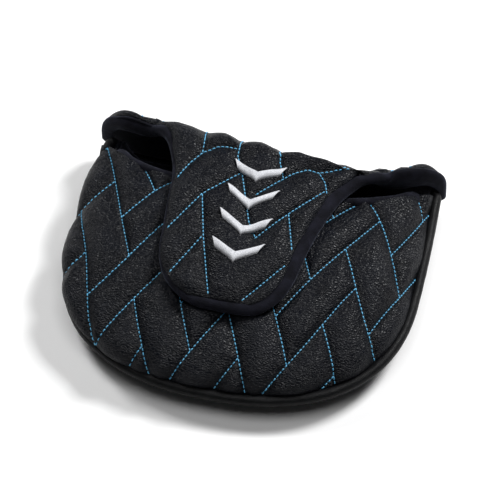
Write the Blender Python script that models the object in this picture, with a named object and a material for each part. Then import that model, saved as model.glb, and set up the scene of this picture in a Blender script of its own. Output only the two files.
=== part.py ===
"""Quilted putter head cover for a mallet head, with a magnetic flap.

Metres, +Z up. The cover rests on its sole. X runs along the straight mouth side, +Y points
out of the mouth, and the round end of the D points to -Y. Every panel is three layers:
leather outside, foam, and a plush lining.
"""

from math import atan2, cos, exp, hypot, pi, sin, tanh

import bmesh
import bpy
from mathutils import Vector

# Plan of the D, measured from the middle of the mouth line.
HALF_WIDTH = 0.0585
MOUTH_HALF_WIDTH = 0.0570
WIDEST_AT = 0.045
D_LENGTH = 0.0970
ROUND_END_POWER = 2.4

# Heights of the crown, and of the seam that joins it to the sole.
CROWN_TOP = 0.0290
SEAM_AT_TIP = 0.0085
SEAM_AT_MOUTH = 0.0130
SEAM_POWER = 1.5
DOME_POWER = 2.3
DOME_ROOT = 2.1
MOUTH_SETBACK = 0.0045
MOUTH_SKEW = 0.5
SETBACK_FADE = 0.012
MOUTH_SCOOP = 0.0200
SCOOP_POWER = 3.5
SCOOP_FADE = 0.036
SOLE_FLAT_SHARE = 0.86

# Layers, outside to inside. GAP separates pieces that touch on the real cover.
GAP = 0.0003
LEATHER = 0.0010
CROWN_FOAM = 0.0022
SOLE_FOAM = 0.0016
FLAP_FOAM = 0.0018
LINING = 0.0010
FLAP_THICKNESS = LEATHER + FLAP_FOAM + LINING + 2 * GAP

# Edgings.
PIPING_RADIUS = 0.0017
PIPING_BORE = 0.0010
PIPING_CORD_RADIUS = 0.0007
MOUTH_BINDING_RADIUS = 0.0025
MOUTH_BINDING_OFFSET = 0.0030
MOUTH_BINDING_SHARE = 0.97
EDGE_BINDING_WIDTH = 0.0022

# Flap: a base that stands across the mouth, and a tongue that folds over the crown.
REAR_Y = 0.0066
HINGE_Y = 0.0030
HINGE_Z = 0.0040
BASE_HALF_WIDTH = 0.0608
BASE_BOTTOM = 0.0042
BASE_TOP = 0.0285
EAR_BOTTOM = 0.0058
EAR_TIP_TOP = 0.0215
EAR_FROM = 0.040
BASE_LEAN = 0.0115
EAR_LEAN = 0.0025
LEAN_TO = 0.0300
LEAN_POWER = 1.5
LEAN_TILT = 0.0039
TILT_OVER = 0.0300
FOLD_Y = -0.0075
FOLD_Z = 0.0330
TONGUE_START = -0.0128
TONGUE_END = -0.0755
TONGUE_ROOT_HALF = 0.0345
TONGUE_HALF = 0.0252
TONGUE_ROUND_FROM = 0.62
TONGUE_CLEARANCE = 0.0006
NOTCH_FADE = 0.30
TIP_POWER = 2.6
TIP_ROOT = 2.2
TONGUE_PANEL_SHARE = 0.985

# Magnets, and the embroidered chevrons that decorate the tongue.
MAGNET_RADIUS = 0.0060
MAGNET_THICKNESS = 0.0013
MAGNET_X = 0.0115
MAGNET_Y = -0.0600
CHEVRON_COUNT = 4
CHEVRON_HALF_WIDTH = 0.0082
CHEVRON_BAND = 0.0046
CHEVRON_DROP = 0.0050
CHEVRON_FIRST_Y = -0.0160
CHEVRON_PITCH = 0.0115
CHEVRON_HEIGHT = 0.0007

# The frame's origin is under the middle of the whole cover.
FRONT_REACH = D_LENGTH + 2 * GAP + 2 * PIPING_RADIUS
MOUTH_Y = (FRONT_REACH - REAR_Y) / 2

# Panels are drawn along rays from the middle of the mouth line, with rows set closer
# together towards their outer edge.
RAYS = 32
CROWN_CROWDING = 1.7
TONGUE_CROWDING = 1.5

LOOKS = {  # name: colour, roughness, metallic
    "leather": ((0.012, 0.012, 0.014), 0.42, 0.0),
    "velvet": ((0.006, 0.007, 0.011), 0.95, 0.0),
    "foam": ((0.20, 0.20, 0.21), 0.90, 0.0),
    "piping": ((0.008, 0.008, 0.009), 0.38, 0.0),
    "cord": ((0.55, 0.53, 0.48), 0.85, 0.0),
    "magnet": ((0.62, 0.62, 0.63), 0.28, 1.0),
    "thread": ((0.85, 0.86, 0.86), 0.55, 0.0),
}


def clear_scene():
    for obj in list(bpy.data.objects):
        bpy.data.objects.remove(obj, do_unlink=True)


def make_material(name):
    colour, roughness, metallic = LOOKS[name]
    material = bpy.data.materials.new(name)
    material.use_nodes = True
    shader = material.node_tree.nodes["Principled BSDF"]
    shader.inputs["Base Color"].default_value = (*colour, 1.0)
    shader.inputs["Roughness"].default_value = roughness
    shader.inputs["Metallic"].default_value = metallic
    return material


def make_empty(name, y, z):
    empty = bpy.data.objects.new(name, None)
    empty.location = (0.0, MOUTH_Y + y, z)
    empty.empty_display_size = 0.01
    bpy.context.scene.collection.objects.link(empty)
    return empty


def finish(bm, name, material, hinge=None):
    """Makes an object of a mesh drawn from the mouth line, on its hinge if it has one."""
    bmesh.ops.remove_doubles(bm, verts=bm.verts, dist=1e-6)
    bmesh.ops.recalc_face_normals(bm, faces=bm.faces)
    place = Vector((0.0, MOUTH_Y, 0.0))
    if hinge:
        place -= hinge.location
    bmesh.ops.translate(bm, verts=bm.verts, vec=place)
    mesh = bpy.data.meshes.new(name)
    bm.to_mesh(mesh)
    bm.free()
    mesh.shade_smooth()
    mesh.set_sharp_from_angle(angle=0.7)
    mesh.materials.append(material)
    obj = bpy.data.objects.new(name, mesh)
    obj.parent = hinge
    bpy.context.scene.collection.objects.link(obj)
    return obj


def steps(count, start=0.0, end=1.0):
    return [start + (end - start) * i / count for i in range(count + 1)]


def crowded(count, power):
    """Steps from 0 to 1 that get smaller towards 1."""
    return [1.0 - (1.0 - s) ** power for s in steps(count)]


def smooth(value):
    value = min(1.0, max(0.0, value))
    return value * value * (3.0 - 2.0 * value)


# Plan and crown.


def half_width(y):
    """Half the width of the D at y, which is 0 on the mouth line and negative inside."""
    past = -y - WIDEST_AT
    if past <= 0.0:
        return HALF_WIDTH - (HALF_WIDTH - MOUTH_HALF_WIDTH) * (past / WIDEST_AT) ** 2
    share = min(1.0, past / (D_LENGTH - WIDEST_AT))
    return HALF_WIDTH * (1.0 - share**ROUND_END_POWER) ** (1.0 / ROUND_END_POWER)


def reach(angle):
    """Distance from the middle of the mouth line to the outline, at an angle from +X to -Y."""
    low, high = 0.0, D_LENGTH + HALF_WIDTH
    for _ in range(40):
        middle = (low + high) / 2
        x, y = middle * cos(angle), -middle * sin(angle)
        inside = -y < D_LENGTH and abs(x) < half_width(y)
        low, high = (middle, high) if inside else (low, middle)
    return low


def seam_height(y):
    return SEAM_AT_TIP + (SEAM_AT_MOUTH - SEAM_AT_TIP) * max(0.0, 1.0 + y / D_LENGTH) ** SEAM_POWER


def rim_share(x, y):
    """0 in the middle of the mouth line, 1 on the outline."""
    return min(1.0, hypot(x, y) / reach(atan2(-y, x)))


def scoop(x, y):
    """How far the crown is cut back from the mouth line, most in the middle of its edge.

    The side that the shaft leaves by, at -X, is cut back further than the other."""
    depth = MOUTH_SCOOP * (1.0 - rim_share(x, y) ** SCOOP_POWER)
    setback = MOUTH_SETBACK * (1.0 - MOUTH_SKEW * x / HALF_WIDTH)
    return setback * exp(y / SETBACK_FADE) + depth * exp(y / SCOOP_FADE)


def unscooped(x, y):
    flat = y
    for _ in range(30):
        flat = min(0.0, y + scoop(x, flat))
    return flat


def dome(rho):
    return max(0.0, 1.0 - rho**DOME_POWER) ** (1.0 / DOME_ROOT)


def crown_height(x, y):
    """Height of the crown's outer face over a point of the plan."""
    flat = unscooped(x, y)
    seam = seam_height(flat)
    return seam + (CROWN_TOP - seam) * dome(rim_share(x, flat))


def crown_point(u, v, depth):
    angle = u * pi
    radius = v * (reach(angle) - depth)
    x, y = radius * cos(angle), -radius * sin(angle)
    seam = seam_height(y) + GAP / 2
    return Vector((x, y - scoop(x, y), seam + (CROWN_TOP - depth - seam) * dome(v)))


def sole_point(u, v, depth):
    angle = u * pi
    radius = v * (reach(angle) - depth)
    x, y = radius * cos(angle), -radius * sin(angle)
    rise = max(0.0, (v - SOLE_FLAT_SHARE) / (1.0 - SOLE_FLAT_SHARE)) ** 2
    return Vector((x, y, depth + (seam_height(y) - GAP / 2 - depth) * rise))


# Flap.


def lean(x):
    """How far the flap's top edge leans over the mouth: least at the ears, and less at -X,
    where the shaft leaves, than at +X, where the flap lies tight on the crown."""
    middle = 1.0 - smooth((abs(x) - LEAN_TO) / (BASE_HALF_WIDTH - LEAN_TO))
    return EAR_LEAN + middle * (BASE_LEAN - EAR_LEAN + LEAN_TILT * tanh(x / TILT_OVER))


def base_point(u, v, depth):
    x = (2.0 * u - 1.0) * BASE_HALF_WIDTH
    edge = smooth((abs(x) - EAR_FROM) / (BASE_HALF_WIDTH - EAR_FROM))
    low = BASE_BOTTOM + (EAR_BOTTOM - BASE_BOTTOM) * edge
    high = BASE_TOP - (BASE_TOP - EAR_TIP_TOP) * edge**4
    z = low + (high - low) * v
    climb = max(0.0, (z - BASE_BOTTOM) / (BASE_TOP - BASE_BOTTOM)) ** LEAN_POWER
    return Vector((x, REAR_Y - lean(x) * climb - depth, z))


def tongue_half(t):
    """Half the width of the tongue, t along it: flared at the fold, round at the tip."""
    flare = (TONGUE_ROOT_HALF - TONGUE_HALF) * exp(-t / NOTCH_FADE)
    past = max(0.0, (t - TONGUE_ROUND_FROM) / (1.0 - TONGUE_ROUND_FROM))
    return (TONGUE_HALF + flare) * max(0.0, 1.0 - past**TIP_POWER) ** (1.0 / TIP_ROOT)


def tongue_z(x, y):
    """Height of the tongue's outer face, which rests on the crown."""
    return crown_height(x, y) + TONGUE_CLEARANCE + FLAP_THICKNESS


def tongue_point(u, v, depth):
    t = TONGUE_PANEL_SHARE * v
    y = TONGUE_START + (TONGUE_END - TONGUE_START) * t
    x = (2.0 * u - 1.0) * (tongue_half(t) - EDGE_BINDING_WIDTH - GAP)
    return Vector((x, y, tongue_z(x, y) - depth))


def chevron_point(y, u, v, depth):
    x = (2.0 * u - 1.0) * CHEVRON_HALF_WIDTH
    y -= CHEVRON_DROP * (1.0 - abs(2.0 * u - 1.0)) + CHEVRON_BAND * v
    return Vector((x, y, tongue_z(x, y) + GAP + CHEVRON_HEIGHT - depth))


# Builders.


def layer(name, point, top, bottom, columns, rows, material, hinge=None):
    """A closed sheet between two depths of a surface point(u, v, depth)."""
    bm = bmesh.new()
    faces = []
    for depth in (top, bottom):
        faces.append([[bm.verts.new(point(u, v, depth)) for v in rows] for u in columns])
    outer, inner = faces
    last_u, last_v = len(columns) - 1, len(rows) - 1
    for i in range(last_u):
        for j in range(last_v):
            for grid in (outer, inner):
                bm.faces.new((grid[i][j], grid[i + 1][j], grid[i + 1][j + 1], grid[i][j + 1]))
    for i in range(last_u):
        for j in (0, last_v):
            bm.faces.new((outer[i][j], outer[i + 1][j], inner[i + 1][j], inner[i][j]))
    for j in range(last_v):
        for i in (0, last_u):
            bm.faces.new((outer[i][j], outer[i][j + 1], inner[i][j + 1], inner[i][j]))
    return finish(bm, name, material, hinge)


def ring(bm, path, i, across, wide, high, sides):
    """A ring of points round path[i], square to the path."""
    along = path[min(i + 1, len(path) - 1)] - path[max(i - 1, 0)]
    side = along.cross(across).normalized()
    up = side.cross(along).normalized()
    turns = [2.0 * pi * k / sides for k in range(sides)]
    return [bm.verts.new(path[i] + side * wide * cos(a) + up * high * sin(a)) for a in turns]


def beside(path, axis, distance):
    """The path moved sideways by a distance, square to itself and to the axis."""
    moved = []
    for i, point in enumerate(path):
        along = path[min(i + 1, len(path) - 1)] - path[max(i - 1, 0)]
        moved.append(point + axis.cross(along).normalized() * -distance)
    return moved


def bridge(bm, first, second):
    for k in range(len(first)):
        n = (k + 1) % len(first)
        bm.faces.new((first[k], first[n], second[n], second[k]))


def tube(name, path, across, wide, high, sides, material, bore=0.0, hinge=None):
    """A rod along a path, or a hose with both ends open where it has a bore."""
    bm = bmesh.new()
    stations = range(len(path))
    skin = [ring(bm, path, i, across, wide, high, sides) for i in stations]
    for i in stations[:-1]:
        bridge(bm, skin[i], skin[i + 1])
    if bore:
        hole = [ring(bm, path, i, across, bore, bore, sides) for i in stations]
        for i in stations[:-1]:
            bridge(bm, hole[i], hole[i + 1])
        bridge(bm, skin[0], hole[0])
        bridge(bm, skin[-1], hole[-1])
    else:
        bm.faces.new(skin[0])
        bm.faces.new(skin[-1])
    return finish(bm, name, material, hinge)


def disc(name, x, y, z_of, radius, thickness, material, hinge=None):
    """A flat disc under a surface z_of(x, y), tilted to lie along it."""
    reach_out = 0.002
    slope_x = (z_of(x + reach_out, y) - z_of(x - reach_out, y)) / (2 * reach_out)
    slope_y = (z_of(x, y + reach_out) - z_of(x, y - reach_out)) / (2 * reach_out)
    normal = Vector((-slope_x, -slope_y, 1.0)).normalized()
    centre = Vector((x, y, z_of(x, y)))
    ends = [centre - normal * thickness / 2, centre + normal * thickness / 2]
    return tube(name, ends, Vector((0, 1, 0)), radius, radius, 20, material, hinge=hinge)


def cut(target, cutter):
    cutter.hide_render = True
    cutter.display_type = "WIRE"
    pocket = target.modifiers.new("magnet pocket", "BOOLEAN")
    pocket.operation = "DIFFERENCE"
    pocket.object = cutter


# Pieces.


def build_shell(mats):
    """Crown and sole, three layers each."""
    rays = steps(RAYS)
    rings = crowded(8, CROWN_CROWDING)
    sole_rings = [0.0, 0.45, SOLE_FLAT_SHARE, 0.92, 0.97, 1.0]
    foam_top = LEATHER + GAP
    crown_lining_top = foam_top + CROWN_FOAM + GAP
    sole_lining_top = foam_top + SOLE_FOAM + GAP
    layer("crown_leather", crown_point, 0.0, LEATHER, rays, rings, mats["leather"])
    crown_foam_bottom = foam_top + CROWN_FOAM
    foam = layer("crown_foam", crown_point, foam_top, crown_foam_bottom, rays, rings, mats["foam"])
    lining_bottom = crown_lining_top + LINING
    layer("crown_lining", crown_point, crown_lining_top, lining_bottom, rays, rings, mats["velvet"])
    layer("sole_leather", sole_point, 0.0, LEATHER, rays, sole_rings, mats["leather"])
    sole_foam_bottom = foam_top + SOLE_FOAM
    layer("sole_foam", sole_point, foam_top, sole_foam_bottom, rays, sole_rings, mats["foam"])
    lining_bottom = sole_lining_top + LINING
    layer("sole_lining", sole_point, sole_lining_top, lining_bottom, rays, sole_rings, mats["velvet"])
    return foam


def mouth_edge(s, depth):
    """A point of the crown's mouth edge, s from -1 at the left corner to 1 at the right."""
    return crown_point(0.0 if s > 0 else 1.0, abs(s), depth)


def build_edgings(mats):
    """Piping round the seam, and the plush roll along the crown's mouth edge."""
    seam = []
    for u in steps(RAYS):
        x, y = reach(u * pi) * cos(u * pi), -reach(u * pi) * sin(u * pi)
        seam.append(Vector((x, y, seam_height(y))))
    path = beside(seam, Vector((0, 0, -1)), PIPING_RADIUS + 2 * GAP)
    upright = Vector((0, 0, 1))
    tube("piping_cover", path, upright, PIPING_RADIUS, PIPING_RADIUS, 8, mats["piping"], PIPING_BORE)
    tube("piping_cord", path, upright, PIPING_CORD_RADIUS, PIPING_CORD_RADIUS, 6, mats["cord"])
    middle = (LEATHER + CROWN_FOAM + LINING) / 2 + GAP
    shares = steps(32, -MOUTH_BINDING_SHARE, MOUTH_BINDING_SHARE)
    edge = [mouth_edge(s, middle) for s in shares]
    roll = []
    for i, s in enumerate(shares):
        along = edge[min(i + 1, len(edge) - 1)] - edge[max(i - 1, 0)]
        inward = mouth_edge(s, middle + LEATHER) - edge[i]
        roll.append(edge[i] + along.cross(inward).normalized() * MOUTH_BINDING_OFFSET)
    backward = Vector((0, 1, 0))
    radius = MOUTH_BINDING_RADIUS
    tube("mouth_binding", roll, backward, radius, radius, 8, mats["velvet"])


def build_base(mats, hinge):
    """The standing part of the flap, with an ear at each end."""
    columns, rows = steps(24), steps(6)
    foam_top = LEATHER + GAP
    foam_bottom = foam_top + FLAP_FOAM
    lining_top = foam_bottom + GAP
    layer("base_leather", base_point, 0.0, LEATHER, columns, rows, mats["leather"], hinge)
    layer("base_foam", base_point, foam_top, foam_bottom, columns, rows, mats["foam"], hinge)
    layer("base_lining", base_point, lining_top, FLAP_THICKNESS, columns, rows, mats["velvet"], hinge)
    half = FLAP_THICKNESS / 2
    backward = Vector((0, 1, 0))
    for side, name in ((-1, "ear_binding_left"), (1, "ear_binding_right")):
        root = 0.5 + side * TONGUE_ROOT_HALF / BASE_HALF_WIDTH / 2
        end = 0.5 + side / 2
        edge = [base_point(u, 1.0, half) for u in steps(8, root, end)]
        edge += [base_point(end, v, half) for v in steps(3, 0.75, 0.0)]
        path = beside(edge, backward * side, EDGE_BINDING_WIDTH / 2 + 2 * GAP)
        tube(name, path, backward, EDGE_BINDING_WIDTH / 2, half, 8, mats["velvet"], hinge=hinge)


def build_tongue(mats, hinge):
    """The part of the flap that folds over the crown."""
    columns = steps(10)
    rows = crowded(12, TONGUE_CROWDING)
    foam_top = LEATHER + GAP
    foam_bottom = foam_top + FLAP_FOAM
    lining_top = foam_bottom + GAP
    layer("tongue_leather", tongue_point, 0.0, LEATHER, columns, rows, mats["leather"], hinge)
    foam = layer("tongue_foam", tongue_point, foam_top, foam_bottom, columns, rows, mats["foam"], hinge)
    lining_bottom = FLAP_THICKNESS
    layer("tongue_lining", tongue_point, lining_top, lining_bottom, columns, rows, mats["velvet"], hinge)
    for number in range(CHEVRON_COUNT):
        y = CHEVRON_FIRST_Y - number * CHEVRON_PITCH
        name = f"chevron_{number + 1}"

        def point(u, v, depth, y=y):
            return chevron_point(y, u, v, depth)

        layer(name, point, 0.0, CHEVRON_HEIGHT, steps(8), steps(3), mats["thread"], hinge)
    return foam


def tongue_edge():
    """The middle line of the tongue's binding, from one root round the tip to the other."""
    middle = FLAP_THICKNESS / 2
    rows = crowded(12, TONGUE_CROWDING)
    edge = [tongue_point(1.0, v, middle) for v in rows]
    edge += [tongue_point(u, 1.0, middle) for u in steps(4, 1.0, 0.0)[1:]]
    edge += [tongue_point(0.0, v, middle) for v in reversed(rows[:-1])]
    return beside(edge, Vector((0, 0, -1)), EDGE_BINDING_WIDTH / 2 + 2 * GAP)


def build_magnets(mats, crown_foam, tongue_foam, tongue_hinge):
    """Magnets in holes of the foam: the tongue's pair pulls down on the crown's pair."""
    crown_middle = LEATHER + GAP + CROWN_FOAM / 2
    tongue_middle = LEATHER + GAP + FLAP_FOAM / 2

    def in_crown(x, y):
        return crown_height(x, y) - crown_middle

    def in_tongue(x, y):
        return tongue_z(x, y) - tongue_middle

    sets = (("crown", in_crown, crown_foam, None), ("tongue", in_tongue, tongue_foam, tongue_hinge))
    for place, level, foam, hinge in sets:
        for side, word in ((-1, "left"), (1, "right")):
            x = side * MAGNET_X
            name = f"{place}_magnet_{word}"
            disc(name, x, MAGNET_Y, level, MAGNET_RADIUS, MAGNET_THICKNESS, mats["magnet"], hinge)
            hole = MAGNET_RADIUS + GAP
            cutter = disc(f"hole_{name}", x, MAGNET_Y, level, hole, 0.006, mats["foam"], hinge)
            cut(foam, cutter)


def main():
    clear_scene()
    mats = {name: make_material(name) for name in LOOKS}
    base_hinge = make_empty("flap_base_hinge", HINGE_Y, HINGE_Z)
    tongue_hinge = make_empty("flap_tongue_hinge", FOLD_Y, FOLD_Z)
    crown_foam = build_shell(mats)
    build_edgings(mats)
    build_base(mats, base_hinge)
    tongue_foam = build_tongue(mats, tongue_hinge)
    wide, high = EDGE_BINDING_WIDTH / 2, FLAP_THICKNESS / 2
    upright = Vector((0, 0, 1))
    edge = tongue_edge()
    tube("tongue_binding", edge, upright, wide, high, 8, mats["velvet"], hinge=tongue_hinge)
    build_magnets(mats, crown_foam, tongue_foam, tongue_hinge)


main()
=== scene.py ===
"""Looks of a quilted putter head cover: stuffed leather panels, stitches, plush and edgings.

Everything is in metres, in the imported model's frame: X along the mouth, +Y out of the mouth,
+Z up. Panels are drawn from the middle of the mouth line, where y is 0, and moved into the
frame by MOUTH at the end.
"""

from math import cos, pi, radians, sin

import bmesh
import bpy
import numpy as np
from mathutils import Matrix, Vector, noise
from mathutils.bvhtree import BVHTree
from mathutils.kdtree import KDTree


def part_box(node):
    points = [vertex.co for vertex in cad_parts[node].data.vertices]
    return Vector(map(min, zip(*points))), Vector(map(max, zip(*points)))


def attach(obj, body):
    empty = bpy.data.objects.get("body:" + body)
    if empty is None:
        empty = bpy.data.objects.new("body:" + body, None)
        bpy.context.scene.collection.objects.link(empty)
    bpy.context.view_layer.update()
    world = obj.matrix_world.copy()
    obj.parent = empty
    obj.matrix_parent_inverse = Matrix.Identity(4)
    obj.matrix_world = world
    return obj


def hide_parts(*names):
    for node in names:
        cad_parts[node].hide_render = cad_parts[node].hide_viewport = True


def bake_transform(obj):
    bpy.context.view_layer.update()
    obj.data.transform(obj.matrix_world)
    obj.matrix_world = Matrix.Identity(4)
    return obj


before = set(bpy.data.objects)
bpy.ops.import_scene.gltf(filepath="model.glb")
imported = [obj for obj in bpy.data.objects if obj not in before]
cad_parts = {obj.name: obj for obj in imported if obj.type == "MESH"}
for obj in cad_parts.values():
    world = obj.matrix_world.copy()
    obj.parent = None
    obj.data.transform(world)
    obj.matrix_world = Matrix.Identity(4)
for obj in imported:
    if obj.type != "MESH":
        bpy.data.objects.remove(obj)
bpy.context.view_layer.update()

MM = 0.001
UP, DOWN, BACK = (0, 0, 1), (0, 0, -1), (0, 1, 0)

# Driving dimensions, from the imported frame.
SOLE_LOW, SOLE_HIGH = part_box("sole_leather")
BASE_LOW, BASE_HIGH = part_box("base_leather")
TONGUE_LOW, TONGUE_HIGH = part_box("tongue_leather")
MOUTH = SOLE_HIGH.y
D_LENGTH = SOLE_HIGH.y - SOLE_LOW.y
HALF_WIDTH = SOLE_HIGH.x
CROWN_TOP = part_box("crown_leather")[1].z
REAR_Y = BASE_HIGH.y - MOUTH
BASE_HALF_WIDTH = BASE_HIGH.x
BASE_BOTTOM, BASE_TOP = BASE_LOW.z, BASE_HIGH.z
TONGUE_START = TONGUE_HIGH.y - MOUTH
TONGUE_END = TONGUE_LOW.y - MOUTH - 1.0 * MM

# Shape of the D, its dome and its scooped mouth edge.
MOUTH_HALF_WIDTH = HALF_WIDTH - 1.5 * MM
WIDEST_AT = 45 * MM
ROUND_END_POWER = 2.4
SEAM_AT_TIP, SEAM_AT_MOUTH, SEAM_POWER = 8.5 * MM, 13 * MM, 1.5
DOME_POWER, DOME_ROOT = 2.3, 2.1
MOUTH_SETBACK, MOUTH_SKEW, SETBACK_FADE = 4.5 * MM, 0.5, 12 * MM
MOUTH_SCOOP, SCOOP_POWER, SCOOP_FADE = 20 * MM, 3.5, 36 * MM
SOLE_FLAT_SHARE, SOLE_RISE_POWER = 0.86, 2.0

# Layers of a panel, outside to inside.
CROWN_PAD, SOLE_PAD, FLAP_PAD = 3.5 * MM, 2.9 * MM, 3.1 * MM
LAYER_GAP, PLUSH = 0.3 * MM, 1.0 * MM
FLAP_THICKNESS = FLAP_PAD + LAYER_GAP + PLUSH

# The flap: ears, lean, fold and tongue.
BASE_LEAN, EAR_LEAN, LEAN_TO, LEAN_POWER = 11.5 * MM, 2.5 * MM, 30 * MM, 1.5
LEAN_TILT, TILT_OVER = 3.9 * MM, 30 * MM
EAR_FROM, EAR_BOTTOM, EAR_TIP_TOP, EAR_CORNER = 40 * MM, 5.8 * MM, 22.5 * MM, 6 * MM
TONGUE_ROOT_HALF, TONGUE_HALF = 34.5 * MM, 25.2 * MM
ARCH_ROOT_HALF, ARCH_LENGTH = 42 * MM, 10 * MM
ARCH_PULL_UP, ARCH_PULL_BACK, ARCH_PULL_OVER = 5.0 * MM, 4.2 * MM, 1.2 * MM
ARCH_TIGHTENS = 0.8
NOTCH_FADE, TONGUE_ROUND_FROM, TONGUE_PANEL_SHARE = 0.30, 0.62, 0.965
TIP_POWER, TIP_ROOT = 2.6, 2.2
TIP_TUCK, RIGHT_HEM, LEFT_OVERHANG = 2.6 * MM, 3.4 * MM, 1.8 * MM
TONGUE_CLEARANCE = 0.6 * MM
EDGE_ROLL, EDGE_ROLL_HIGH = 3.0 * MM, 2.0 * MM
EAR_ROLL_DEPTH, EAR_ROLL_IN, EAR_ROLL_UP = 2.6 * MM, 2.2 * MM, 0.84
TONGUE_ROLL_DEPTH = 3.1 * MM
EAR_ROLL_IN_OVER = 8 * MM
# How many times as wide as EDGE_ROLL the roll is, stretch by stretch.
EAR_ROLL, RIGHT_EAR_ROLL, RIGHT_END_ROLL = 2.1, 3.4, 1.5
LEFT_ROLL, RIGHT_ROLL, TIP_ROLL = 0.8, 2.3, 1.6

# Edgings.
PIPING_RADIUS, PIPING_OFFSET, LEFT_TUCK = 1.9 * MM, 1.8 * MM, 1.0 * MM
PIPING_FROM, PIPING_TO, END_TUCK = 0.03, 0.06, 2.4 * MM
MOUTH_ROLL_RADIUS, MOUTH_ROLL_HIGH = 1.8 * MM, 2.7 * MM
MOUTH_ROLL_OFFSET, MOUTH_ROLL_SHARE = 0.8 * MM, 0.995

# Quilting: how the leather is drawn in at a row of stitches and stands up between rows.
PUFF, PUFF_FADE, SINK = 2.7 * MM, 4.2 * MM, 0.9 * MM
CREASE, CREASE_WIDTH = 0.45 * MM, 0.5 * MM
PUCKER, PUCKER_FADE, PUCKER_PERIOD, SHORT_PUCKER = 0.10 * MM, 2.4 * MM, 4.2 * MM, 0.61
RIM_STAND, RIM_FADE = 0.4 * MM, 2.2 * MM
SIDE_BULGE, BULGE_LEAST, BULGE_AT = 3.2 * MM, 0.25, 3.8 * MM
SEAM_SPREAD, SPREAD_FROM, SPREAD_OVER = 0.06, 52 * MM, 34 * MM
# The last of these is how fast the painted shade along the rows of stitches fades away from them.
UNEVEN, UNEVEN_FINE, SEAM_SHADE_FADE = 0.22 * MM, 0.10 * MM, 1.0 * MM
EDGE_FADE, FOLD_FADE, TONGUE_PRESS = 5 * MM, 3 * MM, 0.8
TONGUE_EDGE, BASE_EDGE = (1.7 * MM, 4.5 * MM), (2.8 * MM, 3.8 * MM)
PILE_PRESSED, PILE_PATCH = 0.12 * MM, 2.5 * MM
SEAM_MARGIN, SEAM_END = 1.2 * MM, 0.985
SURFACE_STEP, SEAM_STEP, ROW_SHIFT = 0.6 * MM, 0.25 * MM, 37 * MM
SHORTEST_RUN, HERRINGBONE_CELLS = 6, 6

# Stitches.
STITCH_PERIOD, STITCH_LENGTH, THREAD_RADIUS = 1.5 * MM, 1.15 * MM, 0.22 * MM
CHEVRON_COUNT, CHEVRON_BAND, CHEVRON_RISE, CHEVRON_PITCH = 4, 4.6 * MM, 1.0 * MM, 0.34 * MM
CHEVRON_SLANT, CHEVRON_NOTCH, SATIN_RADIUS = 1.0 * MM, 1.6 * MM, 0.24 * MM


# ---------------------------------------------------------------- plan and crown


def smooth(t):
    t = np.clip(t, 0.0, 1.0)
    return t * t * (3.0 - 2.0 * t)


def half_width(y):
    """Half the width of the D at y: slightly bowed sides, then the round end."""
    past = -y - WIDEST_AT
    sides = HALF_WIDTH - (HALF_WIDTH - MOUTH_HALF_WIDTH) * (np.minimum(past, 0.0) / WIDEST_AT) ** 2
    share = np.clip(past / (D_LENGTH - WIDEST_AT), 0.0, 1.0)
    return np.where(past <= 0.0, sides, HALF_WIDTH * (1 - share**ROUND_END_POWER) ** (1 / ROUND_END_POWER))


def outline_reach(angle):
    """Distance from the middle of the mouth line to the outline, by halving."""
    low, high = np.zeros_like(angle), np.full_like(angle, D_LENGTH + HALF_WIDTH)
    for _ in range(45):
        middle = (low + high) / 2
        x, y = middle * np.cos(angle), -middle * np.sin(angle)
        inside = (-y < D_LENGTH) & (np.abs(x) < half_width(y))
        low, high = np.where(inside, middle, low), np.where(inside, high, middle)
    return low


TABLE_ANGLES = np.linspace(0.0, pi, 4001)
TABLE_REACHES = outline_reach(TABLE_ANGLES)


def reach(angle):
    return np.interp(angle, TABLE_ANGLES, TABLE_REACHES)


def seam_height(y):
    share = np.maximum(0.0, 1.0 + y / D_LENGTH)
    return SEAM_AT_TIP + (SEAM_AT_MOUTH - SEAM_AT_TIP) * share**SEAM_POWER


def rim_share(x, y):
    """0 at the middle of the mouth line, 1 on the outline."""
    return np.minimum(1.0, np.hypot(x, y) / reach(np.arctan2(-y, x)))


def scoop(x, y):
    """How far the crown is cut back from the mouth line; a little further at -X."""
    depth = MOUTH_SCOOP * (1.0 - rim_share(x, y) ** SCOOP_POWER)
    setback = MOUTH_SETBACK * (1.0 - MOUTH_SKEW * x / HALF_WIDTH)
    return setback * np.exp(y / SETBACK_FADE) + depth * np.exp(y / SCOOP_FADE)


def unscooped(x, y):
    """The y that a crown point had before the mouth edge was cut back, by iteration."""
    flat = np.array(y, float)
    for _ in range(30):
        flat = np.minimum(0.0, y + scoop(x, flat))
    return flat


def dome(rho):
    return np.maximum(0.0, 1.0 - rho**DOME_POWER) ** (1.0 / DOME_ROOT)


def crown_height(x, y):
    flat = unscooped(x, y)
    seam = seam_height(flat)
    return seam + (CROWN_TOP - seam) * dome(rim_share(x, flat))


def crown_point(u, v, depth=0.0):
    angle = u * pi
    radius = v * (reach(angle) - depth)
    x, y = radius * np.cos(angle), -radius * np.sin(angle)
    seam = seam_height(y) + LAYER_GAP / 2
    z = seam + (CROWN_TOP - depth - seam) * dome(v)
    return np.stack([x, y - scoop(x, y), z], -1)


def sole_point(u, v, depth=0.0):
    angle = u * pi
    radius = v * (reach(angle) - depth)
    x, y = radius * np.cos(angle), -radius * np.sin(angle)
    rise = np.maximum(0.0, (v - SOLE_FLAT_SHARE) / (1.0 - SOLE_FLAT_SHARE)) ** SOLE_RISE_POWER
    return np.stack([x, y, depth + (seam_height(y) - LAYER_GAP / 2 - depth) * rise], -1)


# ---------------------------------------------------------------- flap


def lean(x):
    """How far the flap's top edge leans over the mouth: least at the ears, most at +X."""
    middle = 1.0 - smooth((np.abs(x) - LEAN_TO) / (BASE_HALF_WIDTH - LEAN_TO))
    return EAR_LEAN + middle * (BASE_LEAN - EAR_LEAN + LEAN_TILT * np.tanh(x / TILT_OVER))


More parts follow.
